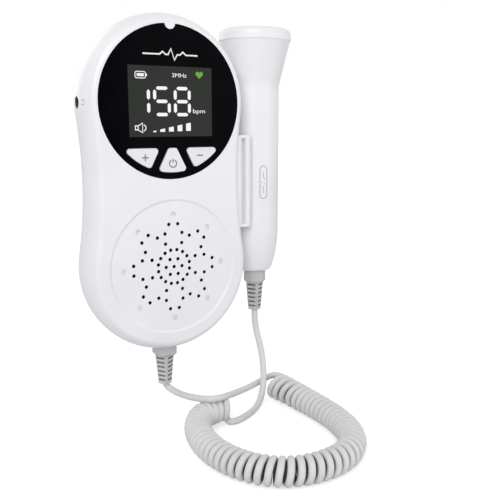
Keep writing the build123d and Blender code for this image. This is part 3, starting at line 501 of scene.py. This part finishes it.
def words(name, text, x, z, width, height):
    """Lit text as a thin closed mesh, in millimetres: its lower left corner, its width and the
    height of its capitals."""
    data = bpy.data.curves.new(name, "FONT")
    data.body = text
    data.extrude = 0.01
    typed = placed(name + "_type", data)
    bpy.context.view_layer.update()
    mesh = bpy.data.meshes.new_from_object(typed.evaluated_get(bpy.context.evaluated_depsgraph_get()))
    bpy.data.objects.remove(typed)
    left = min(v.co.x for v in mesh.vertices)
    reach = max(v.co.x for v in mesh.vertices) - left
    for v in mesh.vertices:
        across = x + (v.co.x - left) * width / reach
        out = print_t * (3 if v.co.z > 0 else 1)
        v.co = (across * mm, window_y - out, (z + v.co.y * height / capital_h) * mm)
    return fixed(placed(name, mesh), screen_white, "main_unit")


words("frequency_text", "3MHz", 0.46, 9.55, width=6.17, height=1.6)
words("unit_text", "bpm", 9.21, -3.96, width=5.31, height=1.68)

# ---------------------------------------------------------------- Pulse mark
# A plain pulse line above the display. It is screen-printed on the face of the window, in one
# pass of white ink.
pulse_z = 17.9
pulse_w = 0.55
pulse = [(-11.5, 0), (-4.6, 0), (-3.3, 1.0), (-2.1, 0), (-1.0, 0), (0.2, 2.2), (1.6, -2.0), (2.8, 0)]
pulse += [(4.0, 0), (5.2, 1.1), (6.5, 0), (11.5, 0)]
pulse = [(x, pulse_z + up) for x, up in pulse]


def printing_ink(name, shade, pale, roughness=0.5):
    """Printing ink, laid on thin. It is opaque and matt, with fine blotches where a little
    more of it went on."""
    blotch_size = 0.3 * mm
    made, tree = new_material(name)
    place = node(tree, "TexCoord").outputs["Object"]
    blotch = node(tree, "TexNoise", {"Vector": place, "Scale": 1 / blotch_size})
    colour = node(tree, "ValToRGB", {"Fac": blotch}, ramp=((0.3, shade), (0.7, pale)))
    shader = node(
        tree, "BsdfPrincipled", {"Base Color": colour, "Roughness": roughness, "IOR": 1.45}
    )
    node(tree, "OutputMaterial", {"Surface": shader})
    return made


# White with a touch of grey, so that it stays below the lit figures
white_ink = printing_ink("white_screen_ink", "#E6E6E8", "#F4F4F5")
pulse_mark = plate("pulse_mark", stroke(pulse, pulse_w), window_y, print_t)
fixed(pulse_mark, white_ink, "main_unit")

# ---------------------------------------------------------------- Keys
# Caps of light grey ABS on one silicone pad. The signs are pad-printed in grey; a firm press
# of half a millimetre snaps the dome below.
key_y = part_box("button_power")[0].y
plus_x, plus_z, plus_w, plus_h = -11.7, -20.8, 2.7, 2.55
minus_x, minus_z, minus_w = 11.7, -20.4, 2.8
power_x, power_z, power_r = -0.14, -23.3, 1.5
power_start, power_end = 122, 418
stem_up, stem_h = 1.03, 1.45
line_w = 0.52

# Satin, because the tool was spark-finished and not polished
keycap_abs = moulded_abs("satin_abs_keys", "#E5E6EA", "#E9EAEE", roughness=0.42)[0]
for name in ("button_plus", "button_power", "button_minus"):
    wear(cad[name], keycap_abs)

# Silicone rubber: a soft grey under a dusty bloom, with no shine
silicone, tree = new_material("grey_silicone")
place = node(tree, "TexCoord").outputs["Object"]
bloom = node(tree, "TexNoise", {"Vector": place, "Scale": 1 / (1.5 * mm), "Detail": 3})
grey = node(tree, "ValToRGB", {"Fac": bloom}, ramp=((0.3, "#94979A"), (0.7, "#A0A3A6")))
shader = node(tree, "BsdfPrincipled", {"Base Color": grey, "Roughness": 0.7, "IOR": 1.43})
node(tree, "OutputMaterial", {"Surface": shader})
wear(cad["keypad_membrane"], silicone)

# Mid grey, a little duller than the caps round it
grey_ink = printing_ink("grey_pad_ink", "#777B82", "#83878D", roughness=0.55)

arm_h = (plus_h - line_w) / 2
arms = [rectangle(plus_x, plus_z + side * (line_w + arm_h) / 2, line_w, arm_h) for side in (-1, 1)]
plus = [rectangle(plus_x, plus_z, plus_w, line_w)] + arms
minus = [rectangle(minus_x, minus_z, minus_w, line_w)]
power = stroke(arc(power_x, power_z, power_r, power_start, power_end, 24), line_w)
power.append(rectangle(power_x, power_z + stem_up, line_w, stem_h))
for sign, shapes in (("plus", plus), ("minus", minus), ("power", power)):
    obj = plate(sign + "_sign", shapes, key_y + print_t, 2 * print_t)
    fixed(obj, grey_ink, sign + "_key")

# ---------------------------------------------------------------- Loudspeaker
# A small paper-cone speaker with a ferrite ring magnet, behind a black dust cloth that is
# glued over the grille's back.
thread = 0.25 * mm

# Plain-woven cloth: its threads catch a little light and its gaps none. At scale 1 a wave
# repeats every 0.314, so the threads are drawn six times as coarse as they are, to show
wave_scale = 0.05 / thread
cloth, tree = new_material("woven_black_cloth")
place = node(tree, "TexCoord").outputs["Object"]
threads = {"Vector": place, "Scale": wave_scale, "Distortion": 0.4}
warp = node(tree, "TexWave", threads, bands_direction="X").outputs["Fac"]
weft = node(tree, "TexWave", threads, bands_direction="Z").outputs["Fac"]
weave = node(tree, "Math", {0: warp, 1: weft}, operation="MULTIPLY")
black = node(tree, "ValToRGB", {"Fac": weave}, ramp=((0, "#040404"), (1, "#101012")))
relief = node(tree, "Bump", {"Height": weave, "Strength": 0.4, "Distance": 0.08 * mm})
shader = node(
    tree, "BsdfPrincipled", {"Base Color": black, "Roughness": 0.95, "IOR": 1.45, "Normal": relief}
)
node(tree, "OutputMaterial", {"Surface": shader})
wear(cad["speaker_cloth"], cloth)

# Pressed paper: dark and dull, its fibres standing up. They are drawn coarser than the real
# ones, which are under 0.05 mm wide, so that they show
paper, tree = new_material("pressed_black_paper")
place = node(tree, "TexCoord").outputs["Object"]
fibre = node(tree, "TexNoise", {"Vector": place, "Scale": 1 / (0.5 * mm), "Detail": 5, "Roughness": 0.7})
black = node(tree, "ValToRGB", {"Fac": fibre}, ramp=((0.3, "#151517"), (0.7, "#2A2A2C")))
relief = node(tree, "Bump", {"Height": fibre, "Strength": 0.4, "Distance": 0.05 * mm})
shader = node(tree, "BsdfPrincipled", {"Base Color": black, "Roughness": 0.85, "Normal": relief})
node(tree, "OutputMaterial", {"Surface": shader})
wear(cad["speaker_cone"], paper)

# Sintered ferrite: charcoal grey and dull, with fine pores, which are drawn coarser to show
ferrite, tree = new_material("sintered_ferrite")
place = node(tree, "TexCoord").outputs["Object"]
pores = node(tree, "TexNoise", {"Vector": place, "Scale": 1 / (0.4 * mm), "Detail": 4, "Roughness": 0.7})
charcoal = node(tree, "ValToRGB", {"Fac": pores}, ramp=((0.3, "#2B2B2E"), (0.7, "#3C3C40")))
shader = node(tree, "BsdfPrincipled", {"Base Color": charcoal, "Roughness": 0.6})
node(tree, "OutputMaterial", {"Surface": shader})
wear(cad["speaker_magnet"], ferrite)

# ---------------------------------------------------------------- Plated metal
# Pressed and turned steel, nickel-plated: the speaker's basket, the snap domes, the battery
# contacts and springs, and the case screws.

# Bright nickel: a warm pale metal, whose gloss is blurred one way by fine lines from the tool
nickel, tree = new_material("nickel_plated_steel")
place = node(tree, "TexCoord").outputs["Object"]
drawn_out = node(tree, "Mapping", {"Vector": place, "Scale": (1, 12, 1)})
lines = node(tree, "TexNoise", {"Vector": drawn_out, "Scale": 1 / (1.2 * mm), "Detail": 3})
metal = node(tree, "ValToRGB", {"Fac": lines}, ramp=((0.3, "#A9A7A2"), (0.7, "#C4C2BD")))
brushed = node(
    tree,
    "MapRange",
    {"Value": lines, "From Min": 0.3, "From Max": 0.7, "To Min": 0.24, "To Max": 0.36},
)
shader = node(tree, "BsdfPrincipled", {"Base Color": metal, "Roughness": brushed, "Metallic": 1.0})
node(tree, "OutputMaterial", {"Surface": shader})
for name in ("speaker_basket", "key_domes", "battery_contacts", "battery_springs", "case_screws"):
    wear(cad[name], nickel)

# ---------------------------------------------------------------- Headphone socket
# A socket of black nylon let into the left side. Beside it a headphone sign is pad-printed on
# the case, where its side curves into the front.
wear(cad["headphone_jack"], nylon)

side_arc_r = 14.0 * mm
side_arc_y = -19.0 * mm
case_r = 34.2 * mm
sign_turn = radians(20)
sign_z = -0.2 * mm


def on_side(across, out, up):
    """A place on the case's left side, from the middle of the headphone sign."""
    turn = sign_turn + across / side_arc_r
    reach = case_r - side_arc_r + (side_arc_r + out) * cos(turn)
    tilt = (sign_z + up) / case_r
    return -reach * cos(tilt), side_arc_y - (side_arc_r + out) * sin(turn), reach * sin(tilt)


def laid(obj, place):
    """Lays a flat plate, made at a depth of nought, on a curved surface."""
    for v in obj.data.vertices:
        v.co = place(v.co.x, -v.co.y, v.co.z)
    return obj


# Pale grey, which stands out only a little from the white
pale_ink = printing_ink("pale_pad_ink", "#B9BBC0", "#C5C7CB")
pads = [rectangle(-0.8, side * 0.85, 0.9, 0.6, 0.2) for side in (-1, 1)]
headphones = plate("headphone_sign", stroke(arc(-0.4, 0, 1.0, -90, 90), 0.36) + pads, 0, print_t)
fixed(laid(headphones, on_side), pale_ink, "main_unit")

# ---------------------------------------------------------------- Circuit boards
# Glass-fibre boards, one in the case and one in the probe, with copper tracks under a green
# solder mask.
track_pitch = 2.2 * mm

# Cured solder mask: an even deep green with a slight gloss, lighter over the tracks
solder_mask, tree = new_material("green_solder_mask")
place = node(tree, "TexCoord").outputs["Object"]
cells = node(tree, "TexVoronoi", {"Vector": place, "Scale": 1 / track_pitch}, feature="DISTANCE_TO_EDGE")
bare = node(tree, "MapRange", {"Value": cells, "From Min": 0.04, "From Max": 0.09})
green = node(tree, "ValToRGB", {"Fac": bare}, ramp=((0, "#2F7A4E"), (1, "#12562F")))
shader = node(tree, "BsdfPrincipled", {"Base Color": green, "Roughness": 0.35, "IOR": 1.5})
node(tree, "OutputMaterial", {"Surface": shader})
wear(cad["main_board"], solder_mask)
wear(cad["probe_board"], solder_mask)

# ---------------------------------------------------------------- Battery cells
# Two AA cells side by side in the bay, held by the springs at their flat ends. Each is a drawn
# steel can in a printed plastic sleeve, which is shrunk on tight.
jacket_z = -76 * mm

# Shrink sleeve: a glossy dark film, with a copper-coloured band at one end
sleeve_film, tree = new_material("printed_shrink_sleeve")
place = node(tree, "TexCoord").outputs["Object"]
height = node(tree, "SeparateXYZ", {0: place}).outputs["Z"]
band = node(tree, "MapRange", {"Value": height, "From Min": jacket_z, "From Max": jacket_z + 0.3 * mm})
film = node(tree, "ValToRGB", {"Fac": band}, ramp=((0, "#B8862E"), (1, "#2A2C30")))
shader = node(tree, "BsdfPrincipled", {"Base Color": film, "Roughness": 0.3})
node(tree, "OutputMaterial", {"Surface": shader})
wear(cad["battery_cells"], sleeve_film)

# ---------------------------------------------------------------- Probe
# Moulded in the same white ABS: a turned-looking handle and, snapped into it, the round head
# with the ceramic crystal behind its face. An outlined field is printed down the handle.
probe_x, probe_y = 45.65 * mm, -15.0 * mm
handle_r = 10.4 * mm
badge_turn = radians(-100)
badge_w, badge_h, badge_z = 3.2, 13.9, -32.9

probe_abs = moulded_abs("white_abs_probe", "#EBEBED", "#EFEFF1")[0]
wear(cad["probe_handle"], probe_abs)
wear(cad["probe_head"], probe_abs)

# Fired ceramic: a dull warm cream, faintly clouded
ceramic, tree = new_material("fired_cream_ceramic")
place = node(tree, "TexCoord").outputs["Object"]
cloud = node(tree, "TexNoise", {"Vector": place, "Scale": 1 / (0.8 * mm), "Detail": 4})
cream = node(tree, "ValToRGB", {"Fac": cloud}, ramp=((0.3, "#C6BCA2"), (0.7, "#D6CDB6")))
shader = node(tree, "BsdfPrincipled", {"Base Color": cream, "Roughness": 0.5})
node(tree, "OutputMaterial", {"Surface": shader})
wear(cad["transducer_crystal"], ceramic)


def on_handle(across, out, up):
    """A place on the handle, from the middle line of the badge."""
    turn = badge_turn + across / handle_r
    return probe_x + (handle_r + out) * cos(turn), probe_y + (handle_r + out) * sin(turn), up


# A plain pulse line stands in the outlined field
badge = stroke(rectangle(0, badge_z, badge_w, badge_h, badge_w / 2, 8), 0.5, closed=True)
beat = [(0, 4.6), (0, 2.0), (0.8, 1.3), (-0.9, 0.3), (0.9, -0.9), (-0.5, -1.8), (0, -2.4), (0, -4.6)]
badge += stroke([(x, badge_z + up) for x, up in beat], 0.4)
fixed(laid(plate("handle_badge", badge, 0, print_t), on_handle), pale_ink, "probe")

# ---------------------------------------------------------------- Strain reliefs
# Grey thermoplastic rubber, moulded over the cord where it leaves the case and the probe. The
# square sleeves taper, stand at an angle, and have rows of slots that let them bend.
sleeve_turn = radians(32)


def soft_rubber(name, shade, pale, axis, tip, top):
    """Dull thermoplastic rubber with a faint speck. Its slots are painted darker, as painted shade:
    they lie below the faces of the sleeve, whose tip and top are given by height and width."""
    (tip_z, tip_w), (top_z, top_w) = tip, top
    speck_size, edge = 0.5 * mm, 0.05 * mm
    made, tree = new_material(name)
    place = node(tree, "TexCoord").outputs["Object"]
    speck = node(tree, "TexNoise", {"Vector": place, "Scale": 1 / speck_size, "Detail": 3})
    rubber = node(tree, "ValToRGB", {"Fac": speck}, ramp=((0.3, shade), (0.7, pale)))

    centred = node(tree, "VectorMath", {0: place, 1: (*axis, 0)}, operation="SUBTRACT")
    turned = node(tree, "VectorRotate", {"Vector": centred, "Angle": -sleeve_turn}, rotation_type="Z_AXIS")
    apart = node(tree, "SeparateXYZ", {0: turned})
    height = apart.outputs["Z"]
    u = node(tree, "Math", {0: apart.outputs["X"]}, operation="ABSOLUTE")
    v = node(tree, "Math", {0: apart.outputs["Y"]}, operation="ABSOLUTE")
    reach = node(tree, "Math", {0: u, 1: v}, operation="MAXIMUM")
    half_w = node(
        tree,
        "MapRange",
        {"Value": height, "From Min": tip_z, "From Max": top_z, "To Min": tip_w / 2, "To Max": top_w / 2},
    )
    depth = node(tree, "Math", {0: half_w, 1: reach}, operation="SUBTRACT")
    sunk = node(tree, "MapRange", {"Value": depth, "From Min": 0.2 * mm, "From Max": 0.6 * mm})
    below = node(
        tree,
        "MapRange",
        {"Value": height, "From Min": top_z - edge, "From Max": top_z, "To Min": 1, "To Max": 0},
    )
    above = node(tree, "MapRange", {"Value": height, "From Min": tip_z, "From Max": tip_z + edge})
    # Painted shade: the sunk slots are coloured a darker grey
    slot_shade_mask = node(tree, "Math", {0: sunk, 1: below}, operation="MULTIPLY")
    slot_shade_mask = node(tree, "Math", {0: slot_shade_mask, 1: above}, operation="MULTIPLY")
    colour = node(tree, "Mix", {"Factor": slot_shade_mask, "A": rubber, "B": linear("#88888A")}, data_type="RGBA")

    dull = node(
        tree,
        "MapRange",
        {"Value": speck, "From Min": 0.3, "From Max": 0.7, "To Min": 0.45, "To Max": 0.58},
    )
    relief = node(tree, "Bump", {"Height": speck, "Strength": 0.15, "Distance": 0.03 * mm})
    shader = node(
        tree, "BsdfPrincipled", {"Base Color": colour, "Roughness": dull, "IOR": 1.5, "Normal": relief}
    )
    node(tree, "OutputMaterial", {"Surface": shader})
    return made


case_rubber = soft_rubber(
    "grey_tpr_case",
    "#C2C1C0",
    "#C9C8C7",
    axis=(0, -16 * mm),
    tip=(-117.6 * mm, 4.7 * mm),
    top=(-105.1 * mm, 6.3 * mm),
)
probe_rubber = soft_rubber(
    "grey_tpr_probe",
    "#BDBCBB",
    "#C6C5C4",
    axis=(probe_x, probe_y),
    tip=(-91.4 * mm, 4.8 * mm),
    top=(-78.8 * mm, 6.4 * mm),
)
wear(cad["unit_strain_relief"], case_rubber)
wear(cad["probe_strain_relief"], probe_rubber)

# ---------------------------------------------------------------- Cord
# One round cord in an extruded jacket of pale grey TPU, 2.8 mm thick: a smooth lead at each end
# and, between them, a left-hand coil wound on a rod, which lies in a loop on the table.
cord_d = 2.8 * mm
coil_r = 4.2 * mm

unit_lead_route = [
    (0.0, -16.0, -117.6),
    (0.5, -16.0, -119.0),
    (1.4, -16.5, -120.1),
    (2.6, -18.0, -121.1),
    (3.9, -20.8, -121.8),
    (5.4, -25.7, -121.7),
    (7.0, -30.4, -121.2),
    (9.0, -34.8, -120.6),
    (12.0, -38.2, -120.1),
    (17.0, -38.0, -120.1),
    (23.7, -33.8, -121.6),
    (34.7, -26.4, -124.0),
    (43.3, -20.9, -125.1),
    (49.9, -18.6, -124.5),
    (53.9, -19.3, -123.3),
    (55.6, -22.3, -123.8),
]
curly_route = [
    (20.0, -35.2, -126.2),
    (9.5, -33.2, -127.2),
    (1.6, -42.0, -127.9),
    (-2.6, -55.5, -127.9),
    (-2.6, -69.5, -127.9),
    (1.6, -82.5, -127.9),
    (10.5, -92.2, -127.9),
    (24.0, -95.6, -127.9),
    (38.0, -93.2, -127.9),
    (48.3, -84.5, -127.9),
    (53.4, -71.6, -127.9),
    (55.0, -56.5, -127.9),
    (54.4, -40.0, -127.9),
    (52.6, -22.6, -127.9),
]
probe_lead_route = [
    (45.65, -15.0, -91.7),
    (45.7, -15.0, -98.0),
    (46.3, -17.0, -104.5),
    (46.8, -19.3, -110.5),
    (46.5, -21.4, -117.0),
    (44.7, -24.8, -123.8),
    (41.2, -27.8, -130.1),
    (36.4, -31.0, -132.3),
    (30.6, -34.9, -132.1),
    (24.6, -37.8, -132.1),
    (20.6, -38.3, -132.1),
    (18.9, -36.8, -132.0),
    (20.0, -33.6, -130.4),
]


def smooth_line(name, points, per_span):
    """A smooth curve with these points, in metres, as its control points."""
    data = bpy.data.curves.new(name, "CURVE")
    data.dimensions = "3D"
    data.resolution_u = per_span
    spline = data.splines.new("NURBS")
    spline.points.add(len(points) - 1)
    for point, place in zip(spline.points, points):
        point.co = (*place, 1)
    spline.order_u = 3
    spline.use_endpoint_u = True
    return data


def mesh_of(curve):
    """The mesh that a curve makes: points along it, or a tube where it has a thickness."""
    obj = bpy.data.objects.new(curve.name, curve)
    mesh = bpy.data.meshes.new_from_object(obj)
    bpy.data.objects.remove(obj)
    return mesh


def metres(route):
    """A route's points in metres."""
    return [Vector(p) * mm for p in route]


# The coil's axis runs from the far end, where the lead from the case comes in, to the near end
axis = [v.co.copy() for v in mesh_of(smooth_line("coil_axis", metres(reversed(curly_route)), 16)).vertices]
axis_at = [0.0]
for a, b in zip(axis[:-1], axis[1:]):
    axis_at.append(axis_at[-1] + (b - a).length)
axis_length = axis_at[-1]


def on_axis(s):
    """Place and direction of the coil's axis at a distance along it."""
    i = max(1, next((k for k, at in enumerate(axis_at) if at >= s), len(axis_at) - 1))
    a, b = axis[i - 1], axis[i]
    share = (s - axis_at[i - 1]) / (axis_at[i] - axis_at[i - 1])
    before, after = axis[max(0, i - 3)], axis[min(len(axis) - 1, i + 2)]
    return a.lerp(b, share), (after - before).normalized()


# The turns lie close at the sides of the loop, and stand apart round its front and near both
# ends. Each swell of their spacing is given by its middle and its half width, as shares of the
# coil, and by how much it adds
coil_turns = 56 + 110 / 360
steps_per_turn = 14
first_angle = radians(50)
swells = ((0.47, 0.23, 0.25), (0.045, 0.03, 0.6), (0.13, 0.13, 0.18), (1.0, 0.06, 0.16))

# The first turns are wider too, and lean
wide_reach, wide_share, lean = 0.09, 0.16, 0.25


def swell(at, middle, half_width, share):
    """A smooth hump round its middle, of the given height."""
    return share * exp(-(((at - middle) / half_width) ** 2))


steps = round(coil_turns * steps_per_turn)
spacing = [1 + sum(swell(i / steps, *shape) for shape in swells) for i in range(steps)]
up = Vector((0, 0, 1))
coil = []
run = 0.0
for i in range(steps + 1):
    place, way = on_axis(axis_length * run / sum(spacing))
    across = up.cross(way).normalized()
    angle = first_angle - 2 * pi * coil_turns * i / steps
    wide = swell(i / steps, 0, wide_reach, 1)
    turn_r = coil_r * (1 + wide_share * wide)
    round_axis = across * cos(angle) + (up + way * lean * wide) * sin(angle)
    coil.append(place + up * (turn_r - coil_r) + round_axis * turn_r)
    run += spacing[min(i, steps - 1)]

route = metres(unit_lead_route)[:-1] + coil + metres(reversed(probe_lead_route))[1:]
line = smooth_line("cord_line", route, 2)
cord_path = [v.co.copy() for v in mesh_of(line).vertices]
line.bevel_depth = cord_d / 2
line.bevel_resolution = 4
line.use_fill_caps = True
cord = placed("cord", mesh_of(line))
for face in cord.data.polygons:
    face.use_smooth = True

# Painted shade: the cord is coloured darker where the turns shade each other, and more on the side that
# faces the coil's axis
shade_start = 0.22 * cord_d
shade_reach = 0.62 * cord_d
near_axis = kdtree.KDTree(len(axis))
for i, place in enumerate(axis):
    near_axis.insert(place, i)
near_axis.balance()
painted_coil_shade = cord.data.attributes.new("painted_coil_shade", "FLOAT", "POINT")
for v in cord.data.vertices:
    depth = coil_r + shade_start - near_axis.find(v.co)[2]
    painted_coil_shade.data[v.index].value = min(1, max(0, depth / shade_reach))

# Extruded TPU: a soft satin sheen, a finely matt skin and a grey that drifts along the cord, with the
# painted shade of the coil's turns mixed in. The skin's real grit is under 0.1 mm and is drawn coarser, so
# that it shows
tpu, tree = new_material("extruded_grey_tpu")
place = node(tree, "TexCoord").outputs["Object"]
grit = node(tree, "TexNoise", {"Vector": place, "Scale": 1 / (0.35 * mm), "Detail": 3})
tint = node(tree, "TexNoise", {"Vector": place, "Scale": 1 / (18 * mm)})
grey = node(tree, "ValToRGB", {"Fac": tint}, ramp=((0.35, "#D8D6D6"), (0.65, "#DCDADA")))
painted_shade = node(tree, "Attribute", attribute_name="painted_coil_shade").outputs["Fac"]
# The darker grey mixed in here is painted shade between the turns
colour = node(tree, "Mix", {"Factor": painted_shade, "A": grey, "B": linear("#6A6A72")}, data_type="RGBA")
satin = node(
    tree,
    "MapRange",
    {"Value": grit, "From Min": 0.3, "From Max": 0.7, "To Min": 0.42, "To Max": 0.54},
)
relief = node(tree, "Bump", {"Height": grit, "Strength": 0.12, "Distance": 0.02 * mm})
shader = node(
    tree, "BsdfPrincipled", {"Base Color": colour, "Roughness": satin, "IOR": 1.5, "Normal": relief}
)
node(tree, "OutputMaterial", {"Surface": shader})
wear(cord, tpu)

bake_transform(cord)
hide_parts("unit_lead", "curly_cord", "probe_lead")
